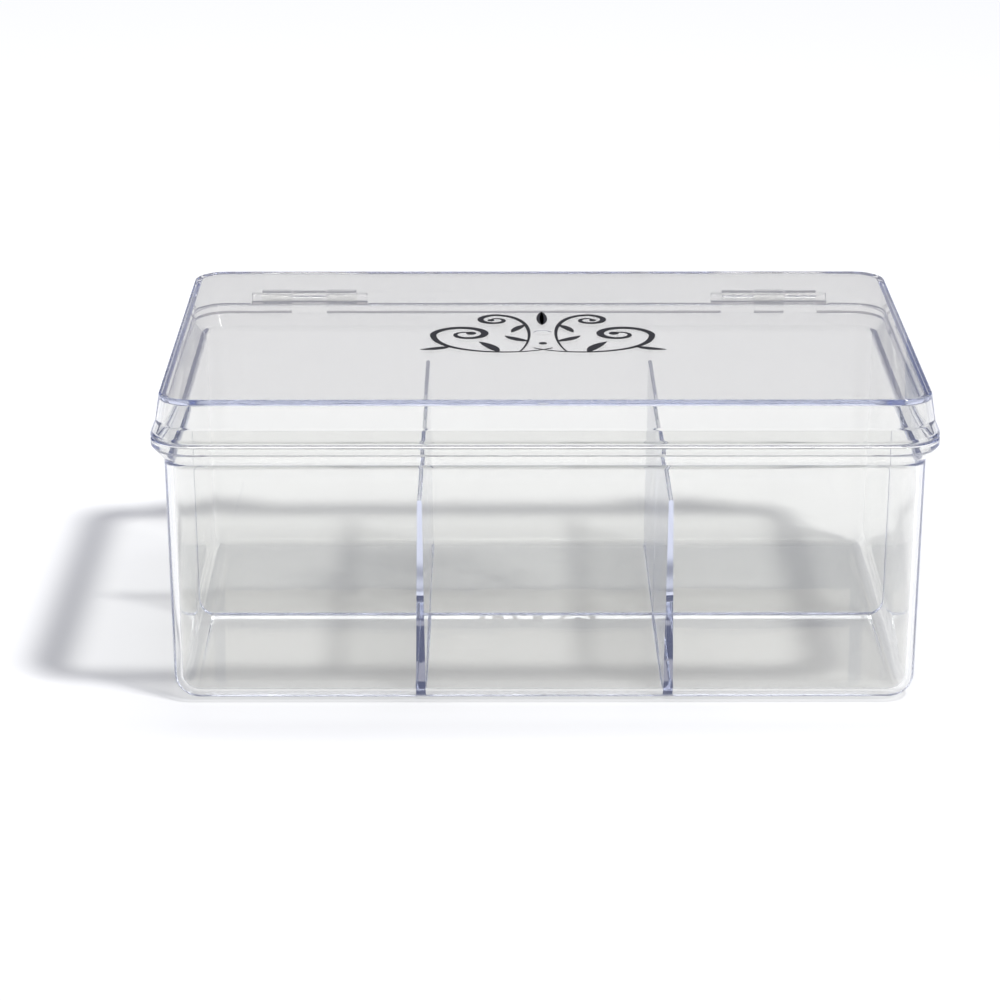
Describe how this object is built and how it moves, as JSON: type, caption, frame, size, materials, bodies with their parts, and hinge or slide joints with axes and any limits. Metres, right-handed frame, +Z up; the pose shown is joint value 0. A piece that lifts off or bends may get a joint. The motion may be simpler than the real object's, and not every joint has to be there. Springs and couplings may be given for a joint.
{
  "type": "tea bag organizer box",
  "caption": "Clear moulded tea bag box with a grid of square compartments and a hinged lid that carries a printed flourish.",
  "frame": {"origin": "centre of the flat underside of the base, which it rests on", "axes": "+X to the right along the width, +Y to the back where the hinges are, +Z up"},
  "size_m": [0.222, 0.1558, 0.0911],
  "materials": {
    "clear_plastic": "injection moulded clear polystyrene, polished mould, faint blue edges",
    "clear_rod": "clear extruded plastic rod",
    "black_ink": "black screen printed ink, satin"
  },
  "bodies": {
    "base": {"base": "clear_plastic", "hinge_rod_left": "clear_rod", "hinge_rod_right": "clear_rod"},
    "lid": {"lid": "clear_plastic", "lid_ornament": "black_ink"}
  },
  "joints": [
    {"name": "lid_hinge", "type": "hinge", "parent": "base", "child": "lid", "pos_m": [0, 0.0775, 0.0795], "axis": [-1, 0, 0], "range_deg": [0, 110]}
  ]
}
